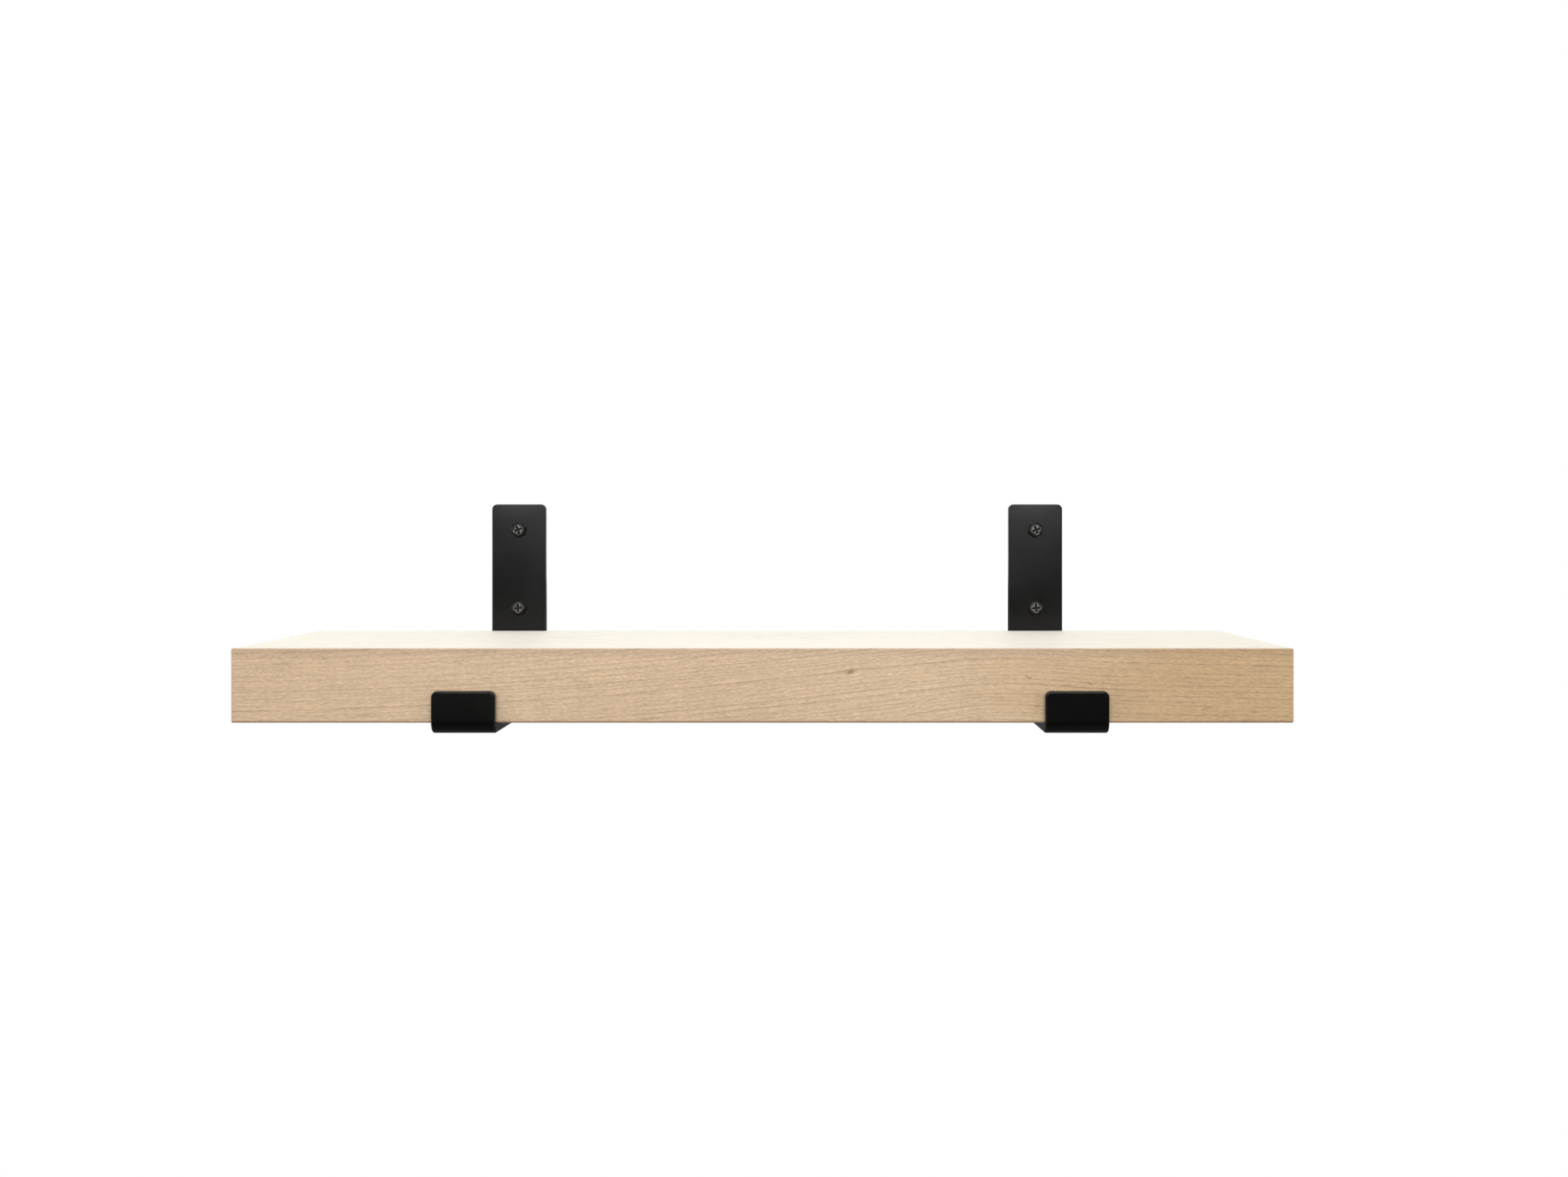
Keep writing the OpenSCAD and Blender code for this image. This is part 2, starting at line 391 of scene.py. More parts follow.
def grain_group(board):
    """How the grain lies in the board: where a point is along, across and round the rings of the tree."""
    inputs = {
        "Position": VECTOR,
        "Pith depth": -0.1,
        "Pith height": -0.3,
        "Rise": 0.03,
        "Swell": 0.006,
        "Knot size": 0.002,
    }
    tree, given = new_tree("Lie of the grain", SHADER, inputs)
    position, knot_size = given["Position"], given["Knot size"]
    x, y, z = split(position)
    share = share_along(x)

    # The rings rise from the left end to a crest and sink a little towards the right end.
    curve = put(tree, "ShaderNodeFloatCurve", {"Value": share})
    line = curve.mapping.curves[0]
    for point, place in zip(line.points, (GRAIN_RISE[0], GRAIN_RISE[-1])):
        point.location = place
    for place in GRAIN_RISE[1:-1]:
        line.points.new(*place)
    curve.mapping.update()
    rise = take(curve) * given["Rise"]

    # A swelling below the board arches the rings over it.
    from_swell = (share - board.swell_place) / board.swell_width
    above = ((z - BOARD_LOW.z) / SWELL_REACH).most(0.0)
    swell = from_swell.bell() * (-above).exp() * given["Swell"]

    # The grain parts round the small knot in the front.
    knot_x, knot_z = (x - board.knot[0]), (z - board.knot[1])
    away = knot_z / (knot_z.size() + knot_size)
    parted = (knot_x / (knot_size * 4.5)).bell() * (knot_z / (knot_size * 3.5)).bell()
    parting = away * parted * knot_size

    slow = noise(position, (2.4, 9.0, 9.0), detail=1.0) - 0.5
    quick = noise(position, (16.0, 50.0, 50.0)) - 0.5
    height = z - rise - swell - parting - given["Pith height"] + slow * WANDER_SLOW + quick * WANDER_QUICK
    depth = y - given["Pith depth"] + slow * WANDER_SLOW
    radius = (height * height + depth * depth) ** 0.5
    around = maths("ARCTAN2", depth, height) * RING_ARM

    # The knot and the pin marks are small ragged spindles that go a little way into the front.
    deep = (y - BOARD_LOW.y) / KNOT_DEPTH
    wide = knot_x / (knot_size * 1.7)
    tall = (knot_z - knot_x * 0.25) / (knot_size * 0.75)
    from_knot = (wide * wide + tall * tall + deep * deep) ** 0.5
    ragged = noise(position, (500.0, 700.0, 700.0)) - 0.5
    dark = (from_knot + ragged * 1.1).ramp(1.45, 0.15)
    for mark_x, mark_z, reach in PIN_MARKS:
        from_mark = x - mark_x * MM
        along = from_mark / (reach * MM)
        beside = (z - mark_z * MM + from_mark * 0.35) / (reach * MM * 0.28)
        dark = dark + (along * along + beside * beside + deep * deep + ragged).ramp(1.2, 0.2) * 0.55
    return give(tree, Grain=combine(x, around, radius), Knot=dark.least(1.0))


def ring_group():
    """Growth rings: a thin dark line where each year's wood ends, with wood that darkens towards it."""
    tree, given = new_tree("Growth rings", SHADER, {"Grain": VECTOR, "Spacing": 0.004})
    grain = given["Grain"]
    radius = split(grain)[2]
    uneven = noise(combine(0.0, 0.0, radius), (1.0, 1.0, 95.0), detail=1.0) - 0.5
    drift = noise(grain, (7.0, 7.0, 60.0), detail=1.0) - 0.5
    crinkle = noise(grain, (130.0, 130.0, 170.0)) - 0.5
    count = radius / given["Spacing"] + uneven * 2.8 + drift * 0.35 + crinkle * 0.18
    through = count.fraction()
    year = put(tree, "ShaderNodeTexWhiteNoise", {"W": count.whole()}, noise_dimensions="1D")
    strength = take(year, "Value") * 0.6 + 0.4
    patchy = noise(grain, (22.0, 60.0, 500.0)).ramp(0.3, 0.62)
    broken = noise(grain, (260.0, 700.0, 700.0)).ramp(0.36, 0.6)
    line = through.ramp(0.7, 0.9) * through.ramp(1.0, 0.94)
    line = line * strength * (patchy * 0.55 + 0.45) * (broken * 0.6 + 0.4)
    return give(tree, Line=line, Late_wood=through.ramp(0.15, 0.95) * through.ramp(1.0, 0.96) * strength)


def fibre_group():
    """Fibres and pores: short dark and light flecks that lie along the grain, and a finer grit."""
    tree, given = new_tree("Fibres", SHADER, {"Grain": VECTOR})
    grain = given["Grain"]
    short = noise(grain, (110.0, 520.0, 560.0), detail=3.0, roughness=0.65)
    where = noise(grain, (14.0, 40.0, 60.0), detail=1.0).ramp(0.34, 0.6)
    return give(
        tree,
        Dark_flecks=short.ramp(0.58, 0.74) * (where * 0.8 + 0.2),
        Light_flecks=noise(grain, (150.0, 700.0, 700.0)).ramp(0.55, 0.75),
        Fibre=noise(grain, (26.0, 560.0, 560.0), detail=4.0, roughness=0.7),
        Grit=noise(grain, (380.0, 1150.0, 1150.0), roughness=0.6),
    )


def figure_group():
    """Slow changes of tone in the board: warm clouds, faint bands across the grain, the heart of the tree
    towards the right end, and painted shade along the front's long edges: a darker band under the top edge
    and a darker line along the bottom edge."""
    tree, given = new_tree("Figure", SHADER, {"Position": VECTOR})
    position = given["Position"]
    x, y, z = split(position)
    drift = noise(position, (6.0, 12.0, 30.0)) - 0.5
    # Painted shade: the colour darkens in a band under the front's top edge and in a thin line along its
    # bottom edge.
    near_front = (y - BOARD_LOW.y).ramp(14 * MM, 0.0)
    under_top = (BOARD_HIGH.z - z + drift * 6 * MM).ramp(7 * MM, 0.5 * MM)
    at_bottom = (z - BOARD_LOW.z).ramp(1.6 * MM, 0.6 * MM)
    return give(
        tree,
        Warmth=noise(position, (5.0, 14.0, 18.0)),
        Band=noise(position, (48.0, 9.0, 9.0)),
        Cloud=noise(position, (18.0, 40.0, 55.0), detail=3.0),
        Heart=(share_along(x) + drift * 0.35).ramp(0.68, 0.92),
        Grime=near_front * (under_top * 0.34 + at_bottom * 1.15),
    )


def maple_material(board, groups):
    """Oiled maple, one solid pattern through the whole board."""
    material, tree, shader = new_material("Maple")
    coordinates = put(tree, "ShaderNodeTexCoord")
    position = take(coordinates, "Object")
    grain = use(
        tree,
        grain_group(board),
        Position=position,
        Pith_depth=board.pith_depth,
        Pith_height=BOARD_LOW.z - board.pith_drop,
        Rise=board.grain_rise,
        Swell=board.swell_height,
        Knot_size=board.knot_size,
    )
    lie = take(grain, "Grain")
    rings = use(tree, ring_group(), Grain=lie, Spacing=board.ring_spacing)
    fibres = use(tree, fibre_group(), Grain=lie)
    figure = use(tree, figure_group(), Position=position)
    line, late = take(rings, "Line"), take(rings, "Late wood")
    dark, light = take(fibres, "Dark flecks"), take(fibres, "Light flecks")
    fibre, grit = take(fibres, "Fibre"), take(fibres, "Grit")
    heart, warmth = take(figure, "Heart"), take(figure, "Warmth")
    surface = worn_and_fine(tree, groups, position, patches=70.0, amount=0.9, grains=2400.0, clouds=9.0)
    worn, fine, cloud = surface

    # End grain drinks the oil and is darker, and its rings are bolder.
    end = split(take(coordinates, "Normal"))[0].size().ramp(0.6, 0.95)
    bold = end * 0.5 + heart * 0.7 + 0.8

    colour = board.pale_wood
    for other, share in (
        (board.late_wood, late * 0.42),
        (board.warm_wood, warmth.ramp(0.42, 0.66) * 0.38),
        (board.heart_wood, heart * 0.75),
        (board.line_wood, line * bold),
        # Painted shade along the front's top and bottom edges.
        (board.painted_edge_shade, take(figure, "Grime") * 0.8),
    ):
        colour = tint(colour, other, share)
    # Tone is how much lighter or darker each of the finer features makes the wood.
    tone = (take(figure, "Band") - 0.5) * 0.13 + (take(figure, "Cloud") - 0.5) * 0.12
    tone = tone + (fibre - 0.5) * 0.42 + light * 0.1
    tone = tone + (grit - 0.5) * 0.72
    tone = tone - dark * 0.25 * (1.0 - end * 0.6) - end * 0.16 + worn * 0.05
    colour = tint(shaded(colour, tone + 1.0), board.knot_wood, take(grain, "Knot") * 0.85)
    feed(shader.inputs["Base Color"], colour)
    feed(shader.inputs["Roughness"], dark * 0.12 + cloud * 0.08 + end * 0.12 + WOOD_ROUGHNESS)
    shader.inputs["Sheen Weight"].default_value = WOOD_SHEEN
    shader.inputs["Sheen Roughness"].default_value = WOOD_SHEEN_ROUGHNESS
    height = fibre * 0.6 - dark * 0.5 + line * 0.3 + fine * (end * 0.8 + 0.25)
    add_bump(shader, height, strength=0.35, distance=0.12 * MM)
    return material


# ---------------------------------------------------------------- steel finishes


def powder_coat_material(steel, groups):
    """Black powder coat: a satin film with a fine orange peel, thinner along the edges."""
    material, tree, shader = new_material("Powder coat")
    position = take(put(tree, "ShaderNodeTexCoord"), "Object")
    surface = worn_and_fine(tree, groups, position, patches=150.0, amount=0.72, grains=900.0, clouds=22.0)
    worn, fine, cloud = surface
    shade = shaded(steel.coat_colour, (cloud - 0.5) * 0.5 + 1.0)
    feed(shader.inputs["Base Color"], tint(shade, steel.thin_coat, worn * 0.8))
    feed(shader.inputs["Roughness"], (cloud - 0.5) * 0.18 - worn * 0.1 + steel.coat_roughness)
    shader.inputs["Specular IOR Level"].default_value = COAT_SPECULAR
    add_bump(shader, fine, strength=0.3, distance=0.05 * MM)
    return material


def screw_material(name, screw, groups):
    """Blackened steel, rubbed bright where the driver and the socket have been."""
    material, tree, shader = new_material(name)
    position = take(put(tree, "ShaderNodeTexCoord"), "Object")
    surface = worn_and_fine(tree, groups, position, patches=520.0, amount=0.6, grains=4200.0, clouds=260.0)
    worn, fine, cloud = surface
    feed(shader.inputs["Base Color"], tint(screw.colour, screw.bare_colour, worn))
    feed(shader.inputs["Metallic"], worn * 0.85)
    feed(shader.inputs["Roughness"], (cloud - 0.5) * 0.3 - worn * 0.08 + screw.roughness)
    shader.inputs["Specular IOR Level"].default_value = SCREW_SPECULAR
    add_bump(shader, fine, strength=0.35, distance=0.04 * MM)
    return material


# ---------------------------------------------------------------- meshes


def new_object(name, shape):
    """An object for a bmesh shape, smooth all over. The shape is freed."""
    mesh = bpy.data.meshes.new(name)
    shape.to_mesh(mesh)
    shape.free()
    mesh.shade_smooth()
    made = bpy.data.objects.new(name, mesh)
    bpy.context.scene.collection.objects.link(made)
    return made


def add_nodes(obj, tree, values):
    """Puts a geometry node tree on an object and sets its inputs by their identifiers."""
    modifier = obj.modifiers.new(tree.name, "NODES")
    modifier.node_group = tree
    for item in tree.interface.items_tree:
        if item.item_type == "SOCKET" and item.in_out == "INPUT" and item.name in values:
            modifier[item.identifier] = values[item.name]


def settle(obj, sharp_angle=None):
    """Replaces an object's mesh and modifiers by the plain mesh that they give, with even shading."""
    if sharp_angle is not None:
        bake(obj)
        obj.data.set_sharp_from_angle(angle=sharp_angle)
    even = obj.modifiers.new("Even shading", "WEIGHTED_NORMAL")
    even.keep_sharp = True
    even.weight = SHADING_WEIGHT
    bake(obj)


def bake(obj):
    """Replaces an object's mesh by the result of its modifiers, and removes them."""
    graph = bpy.context.evaluated_depsgraph_get()
    graph.update()
    mesh = bpy.data.meshes.new_from_object(
        obj.evaluated_get(graph), preserve_all_data_layers=True, depsgraph=graph
    )
    old = obj.data
    obj.modifiers.clear()
    obj.data = mesh
    mesh.name = obj.name
    bpy.data.meshes.remove(old)


def hand_over(obj, slot, *nodes):
    """Gives a finished piece its body and hides the CAD nodes that it stands for. The slot is not used."""
    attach(obj, BODY)
    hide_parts(*nodes)


# ---------------------------------------------------------------- the board


def stations(low, high, radius, parts, steps=3):
    """Places for rows of corners from low to high: close together in the two roundings, even between."""
    near = [radius * (1 - math.tan(math.pi / 4 * step / steps)) for step in range(steps, -1, -1)]
    inner_low, inner_high = low + radius, high - radius
    middle = [inner_low + (inner_high - inner_low) * part / parts for part in range(1, parts)]
    return [low + step for step in near] + middle + [high - step for step in reversed(near)]


def box_grid(rows):
    """A closed box of four-sided faces, with corners at each of the rows along X, Y and Z."""
    box = bmesh.new()
    corners = {}

    def corner(place):
        if place not in corners:
            corners[place] = box.verts.new([rows[axis][place[axis]] for axis in range(3)])
        return corners[place]

    for axis in range(3):
        along, across = (axis + 1) % 3, (axis + 2) % 3
        cells = itertools.product(range(len(rows[along]) - 1), range(len(rows[across]) - 1))
        for (i, j), end in itertools.product(cells, (0, len(rows[axis]) - 1)):
            places = []
            for step_i, step_j in ((0, 0), (1, 0), (1, 1), (0, 1)):
                place = [0, 0, 0]
                place[axis], place[along], place[across] = end, i + step_i, j + step_j
                places.append(tuple(place))
            if end == 0:
                places.reverse()
            box.faces.new([corner(place) for place in places])
    return box


def eased_edges_tree():
    """Eases a box's edges to a radius that wavers, and drills the pilot holes in its underside."""
    inputs = {
        "Geometry": GEOMETRY,
        "Low": VECTOR,
        "High": VECTOR,
        "Largest radius": 0.0014,
        "Waver": 0.4,
        "Hole centre": VECTOR,
        "Holes apart along": 0.3,
        "Holes apart in depth": 0.1,
        "Hole radius": 0.0025,
        "Hole depth": 0.02,
        "Wood": MATERIAL,
    }
    tree, given = new_tree("Eased and drilled board", SHAPE, inputs)
    position = take(put(tree, "GeometryNodeInputPosition"))
    largest = given["Largest radius"]
    margin = combine(largest, largest, largest)
    inner = vector_maths("MAXIMUM", position, vector_maths("ADD", given["Low"], margin))
    inner = vector_maths("MINIMUM", inner, vector_maths("SUBTRACT", given["High"], margin))
    outward = vector_maths("SUBTRACT", position, inner)
    uneven = noise(inner, WAVER_SCALE)
    radius = largest * (1.0 - given["Waver"] * uneven.ramp(0.3, 0.7))
    sign = vector_maths("SIGN", outward)
    slack = scaled(sign, largest - radius)
    reach = scaled(vector_maths("NORMALIZE", outward), radius)
    moved = vector_maths("ADD", vector_maths("ADD", inner, slack), reach)
    shaped = put(tree, "GeometryNodeSetPosition", {"Geometry": given["Geometry"], "Position": moved})

    # Edge is one on the roundings and zero on the flats.
    sides = split(vector_maths("ABSOLUTE", sign))
    on_edge = (sides[0] + sides[1] + sides[2] - 1.0).between(0.0, 1.0)
    mark = {"Geometry": take(shaped), "Name": "edge", "Value": on_edge}
    marked = put(tree, "GeometryNodeStoreNamedAttribute", mark, data_type="FLOAT", domain="POINT")

    size = {"Vertices": DRILL_SIDES, "Radius": given["Hole radius"], "Depth": given["Hole depth"] * 2.0}
    drill = put(tree, "GeometryNodeMeshCylinder", size)
    apart = {"Size X": given["Holes apart along"], "Size Y": given["Holes apart in depth"]}
    pattern = put(tree, "GeometryNodeMeshGrid", {**apart, "Vertices X": 2, "Vertices Y": 2})
    placed = {"Geometry": take(pattern), "Translation": given["Hole centre"]}
    centred = put(tree, "GeometryNodeTransform", placed)
    drills = put(tree, "GeometryNodeInstanceOnPoints", {"Points": take(centred), "Instance": take(drill)})
    solid_drills = put(tree, "GeometryNodeRealizeInstances", {"Geometry": take(drills)})
    drilled = put(tree, "GeometryNodeMeshBoolean", operation="DIFFERENCE", solver="EXACT")
    fill(drilled, {"Mesh 1": take(marked), "Mesh 2": take(solid_drills)})
    return give_shape(tree, take(drilled, "Mesh"), given["Wood"])


def make_board(board, groups):
    """The maple board, drilled where the board screws are in the frame."""
    radius = board.edge_radius
    sides = zip(BOARD_LOW, BOARD_HIGH, BOARD_PARTS)
    rows = [stations(low, high, radius, parts) for low, high, parts in sides]
    made = new_object("shelf_board", box_grid(rows))
    lows, highs = zip(*(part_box(f"{side}_{end}_board_screw") for side in SIDES for end in ENDS))
    low = Vector(map(min, *lows))
    high = Vector(map(max, *highs))
    width = highs[0].x - lows[0].x
    values = {
        "Low": BOARD_LOW,
        "High": BOARD_HIGH,
        "Largest radius": radius,
        "Waver": board.edge_waver,
        "Hole centre": ((low.x + high.x) / 2, (low.y + high.y) / 2, BOARD_LOW.z),
        "Holes apart along": high.x - low.x - width,
        "Holes apart in depth": high.y - low.y - width,
        "Hole radius": board.pilot_radius,
        "Hole depth": board.pilot_depth,
        "Wood": maple_material(board, groups),
    }
    add_nodes(made, eased_edges_tree(), values)
    settle(made, BOARD_CREASE)
    hand_over(made, "maple", "board")


# ---------------------------------------------------------------- the brackets


def arc(centre, radius, start, end, steps):
    """Points on an arc, both ends included, with angles in degrees."""
    angles = [math.radians(start + (end - start) * step / steps) for step in range(steps + 1)]
    return [(centre[0] + radius * math.cos(a), centre[1] + radius * math.sin(a)) for a in angles]


def flat_blank(width, holes, rows, length, steel):
    """The strip before it is bent: its top end at y = 0, the rest towards -Y, its wall face at z = 0.
    Holes are (distance from the top end, radius). Rows are other distances that need a line across."""
    blank = bmesh.new()
    half, cell, corner = width / 2, HOLE_CELL, steel.corner_radius
    first_line = CORNERS_TO_LINE * corner
    edges = sorted({0.0, length, first_line, length - first_line, *rows})
    cells = [(near, far, None) for near, far in zip(edges, edges[1:])]
    for place, radius in holes:
        near, far, _ = next(c for c in cells if c[0] < place - cell and place + cell < c[1])
        cells.remove((near, far, None))
        cells += [(near, place - cell, None), (place - cell, place + cell, radius), (place + cell, far, None)]

    def face(points):
        blank.faces.new([blank.verts.new((x, y, 0.0)) for x, y in points])

    for near, far, radius in sorted(cells, key=lambda c: c[0]):
        top, bottom = -near, -far
        for side, flank in ((-1, 180), (1, 0)):
            outer = [(side * half, bottom), (side * half, top)]
            if near == 0.0:
                centre = (side * (half - corner), top - corner)
                outer[1:] = arc(centre, corner, flank, 90, CORNER_STEPS)
            if far == length:
                centre = (side * (half - corner), bottom + corner)
                outer[:1] = arc(centre, corner, 270 if side < 0 else -90, flank, CORNER_STEPS)
            ring = outer + [(side * cell, top), (side * cell, bottom)]
            face(ring if side > 0 else reversed(ring))
        if radius is None:
            face([(-cell, top), (-cell, bottom), (cell, bottom), (cell, top)])
            continue
        middle = (0.0, (top + bottom) / 2)
        for start in (45, 135, 225, 315):
            rim = arc(middle, radius, start + 90, start, HOLE_STEPS)
            square = arc(middle, cell * math.sqrt(2), start, start + 90, 1)
            face(square + rim)
    bmesh.ops.remove_doubles(blank, verts=blank.verts, dist=SAME_PLACE)
    bmesh.ops.recalc_face_normals(blank, faces=blank.faces)
    for flat in blank.faces:
        if flat.normal.z > 0:
            flat.normal_flip()
    lifted = bmesh.ops.extrude_face_region(blank, geom=list(blank.faces), use_keep_orig=True)
    risen = [item for item in lifted["geom"] if isinstance(item, bmesh.types.BMVert)]
    bmesh.ops.translate(blank, verts=risen, vec=(0.0, 0.0, STEEL_THICKNESS))
    bmesh.ops.recalc_face_normals(blank, faces=blank.faces)
    ease_rims(blank, holes, steel)
    return blank


def ease_rims(blank, holes, steel):
    """Rounds the edges of a blank and of its holes, and marks the roundings as edges that wear."""
    edge_layer = blank.verts.layers.float.new("edge")

    def on_hole(edge):
        return any(
            all(abs(math.hypot(v.co.x, v.co.y + place) - radius) < NEAR_RIM for v in edge.verts)
            for place, radius in holes
        )

    rims = [e for e in blank.edges if len(e.link_faces) == 2 and e.calc_face_angle() > RIM_ANGLE]
    hole_rims = [e for e in rims if on_hole(e)]
    outer_rims = [e for e in rims if not on_hole(e)]
    for chosen, radius in ((outer_rims, steel.edge_radius), (hole_rims, steel.hole_edge_radius)):
        turned = bmesh.ops.bevel(
            blank,
            geom=chosen,
            offset=radius,
            segments=EDGE_STEPS,
            profile=0.5,
            affect="EDGES",
            clamp_overlap=True,
        )
        fresh = set(turned["faces"])
        for vert in {v for f in fresh for v in f.verts}:
            inside = all(f in fresh for f in vert.link_faces)
            vert[edge_layer] = 1.0 if inside else WORN_BESIDE_EDGE


def bent_strip_tree():
    """Bends a flat blank into a wall plate, an arm and a lip, round two bends of the same radius."""
    inputs = {
        "Geometry": GEOMETRY,
        "Middle": 0.0,
        "Top": 0.05,
        "Plate straight": 0.1,
        "Arm straight": 0.2,
        "Outer radius": 0.008,
        "Bend length": 0.01,
        "Steel": MATERIAL,
    }
    tree, given = new_tree("Bent strip", SHAPE, inputs)
    x, down, t = split(take(put(tree, "GeometryNodeInputPosition")))
    s = -down
    plate, arm = given["Plate straight"], given["Arm straight"]
    bend, outer = given["Bend length"], given["Outer radius"]
    first = ((s - plate) / bend).between(0.0, 1.0) * QUARTER_TURN
    second = ((s - plate - bend - arm) / bend).between(0.0, 1.0) * QUARTER_TURN
    on_plate = s.least(plate)
    on_arm = (s - plate - bend).between(0.0, 1.0).least(arm)
    on_lip = (s - plate - bend - arm - bend).most(0.0)
    turned = first + second
    y = -(outer * (1.0 - first.cos()) + on_arm + outer * second.sin() + t * turned.cos())
    z = given["Top"] - on_plate - outer * first.sin() + outer * (1.0 - second.cos()) + on_lip
    bent = combine(x + given["Middle"], y, z + t * turned.sin())
    shaped = put(tree, "GeometryNodeSetPosition", {"Geometry": given["Geometry"], "Position": bent})
    return give_shape(tree, take(shaped), given["Steel"])


def make_brackets(steel, groups):
    """The two bent brackets, drilled where the screws are in the frame."""
    tree = bent_strip_tree()
    coat = powder_coat_material(steel, groups)
    outer = steel.bend_radius + STEEL_THICKNESS
    bend = QUARTER_TURN * (steel.bend_radius + STEEL_THICKNESS / 2)
    plate = STEEL_HIGH.z - STEEL_LOW.z - outer
    arm = STEEL_HIGH.y - STEEL_LOW.y - 2 * outer
    lip = steel.lip_height - outer
    length = plate + bend + arm + bend + lip
    bends = [plate, plate + bend + arm]
    rows = [start + bend * step / BEND_STEPS for start in bends for step in range(BEND_STEPS + 1)]
    for side in SIDES:
        low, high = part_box(f"{side}_bracket")
        holes = []
        for level in LEVELS:
            screw_low, screw_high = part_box(f"{side}_{level}_wall_screw")
            holes.append((high.z - (screw_low.z + screw_high.z) / 2, steel.wall_hole_radius))
        for end in ENDS:
            screw_low, screw_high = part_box(f"{side}_{end}_board_screw")
            from_wall = high.y - (screw_low.y + screw_high.y) / 2
            holes.append((plate + bend + from_wall - outer, steel.arm_hole_radius))
        made = new_object(f"{side}_steel_bracket", flat_blank(high.x - low.x, holes, rows, length, steel))
        values = {
            "Middle": (low.x + high.x) / 2,
            "Top": high.z,
            "Plate straight": plate,
            "Arm straight": arm,
            "Outer radius": outer,
            "Bend length": bend,
            "Steel": coat,
        }
        add_nodes(made, tree, values)
        settle(made)
        hand_over(made, "black_steel", f"{side}_bracket")


# ---------------------------------------------------------------- the screws


def around_hexagon(angle, flats):
    """Distance from the middle to the side of a hexagon whose corners are a little blunt."""
    sixth = math.pi / 3
    from_flat = angle % sixth - sixth / 2
    return min(flats / 2 / math.cos(from_flat), flats / math.sqrt(3) * BLUNT_CORNER)


def around_cross(angle, length, width):
    """Distance from the middle to the outline of a cross."""
    from_arm = abs((angle + QUARTER_TURN / 2) % QUARTER_TURN - QUARTER_TURN / 2)
    along = length / 2 / math.cos(from_arm)
    beside = width / 2 / math.sin(from_arm) if from_arm > 0 else along
    return min(along, beside)


def turned_head(rings):
    """A closed head round the Z axis. Each ring is (radius, height, wear), where the radius and the height
    are numbers or functions of the angle. The first and the last rings close on the axis."""
    head = bmesh.new()
    layer = head.verts.layers.float.new("edge")
    angles = [2 * math.pi * step / HEAD_STEPS for step in range(HEAD_STEPS)]
    steps = [(step, (step + 1) % HEAD_STEPS) for step in range(HEAD_STEPS)]

    def corner(x, y, z, worn):
        vert = head.verts.new((x, y, z))
        vert[layer] = worn
        return vert

    rows = []
    for radius, height, worn in rings:
        row = []
        for angle in angles:
            r, z = (size(angle) if callable(size) else size for size in (radius, height))
            row.append(corner(r * math.cos(angle), r * math.sin(angle), z, worn))
        rows.append(row)
    for lower, upper in zip(rows, rows[1:]):
        for step, after in steps:
            head.faces.new([lower[step], lower[after], upper[after], upper[step]])
    for number in (0, -1):
        row = rows[number]
        middle = corner(0.0, 0.0, sum(v.co.z for v in row) / len(row), rings[number][2])
        for step, after in steps:
            ends = [row[after], row[step]] if number == 0 else [row[step], row[after]]
            head.faces.new([*ends, middle])
    return head


def hexagon_head(screw):
    """A hexagon head with a turned chamfer, a flat round face and a cross recess."""
    top, face, soft = screw.head_height, screw.face_radius, SOFT_EDGE
    hexagon = lambda a: around_hexagon(a, screw.head_flats)
    cross = lambda a: around_cross(a, screw.cross_length, screw.cross_width)
    chamfer = lambda a: top - (hexagon(a) - face) * CHAMFER_SLOPE
    return turned_head([
        (face * 0.5, 0.0, 0.0),
        (lambda a: hexagon(a) - soft, 0.0, 0.0),
        (hexagon, soft, 0.0),
        (hexagon, lambda a: chamfer(a) - soft, 0.1),
        (lambda a: hexagon(a) - soft * 0.5, lambda a: chamfer(a) + soft * 0.2, 0.25),
        (lambda a: (hexagon(a) + face) / 2, lambda a: (chamfer(a) + top) / 2, 0.1),
        (face + soft * 0.5, top - soft * 0.4, 0.3),
        (face - soft, top, 0.4),
        (lambda a: cross(a) + soft, top, 1.0),
        (cross, top - soft, 0.7),
        (lambda a: cross(a) * CROSS_TAPER, top - screw.cross_depth, 0.0),
        (face * 0.05, top - screw.cross_depth - soft, 0.0),
    ])


def pan_head(screw):
    """A pan head: a straight rim under a shallow dome, with a cross recess."""
    rim, top, soft = screw.head_radius, screw.head_height, SOFT_EDGE
    dome = 2 * rim
    crown = lambda radius: top - dome + math.sqrt(dome * dome - radius * radius)
    cross = lambda a: around_cross(a, screw.cross_length, screw.cross_width)
    crowned = zip((0.92, 0.84, 0.76, 0.68), (0.5, 0.5, 0.5, 0.6))
    return turned_head([
        (rim * 0.4, 0.0, 0.0),
        (rim - soft, 0.0, 0.0),
        (rim, soft, 0.2),
        (rim, crown(rim) - soft, 0.4),
        (rim - soft, crown(rim - soft), 0.6),
        *((rim * share, crown(rim * share), worn) for share, worn in crowned),
        (lambda a: cross(a) + soft, lambda a: crown(cross(a) + soft), 0.9),
        (cross, lambda a: crown(cross(a)) - soft, 0.8),
        (lambda a: cross(a) * CROSS_TAPER, top - screw.cross_depth, 0.3),
        (rim * 0.05, top - screw.cross_depth - soft, 0.1),
    ])


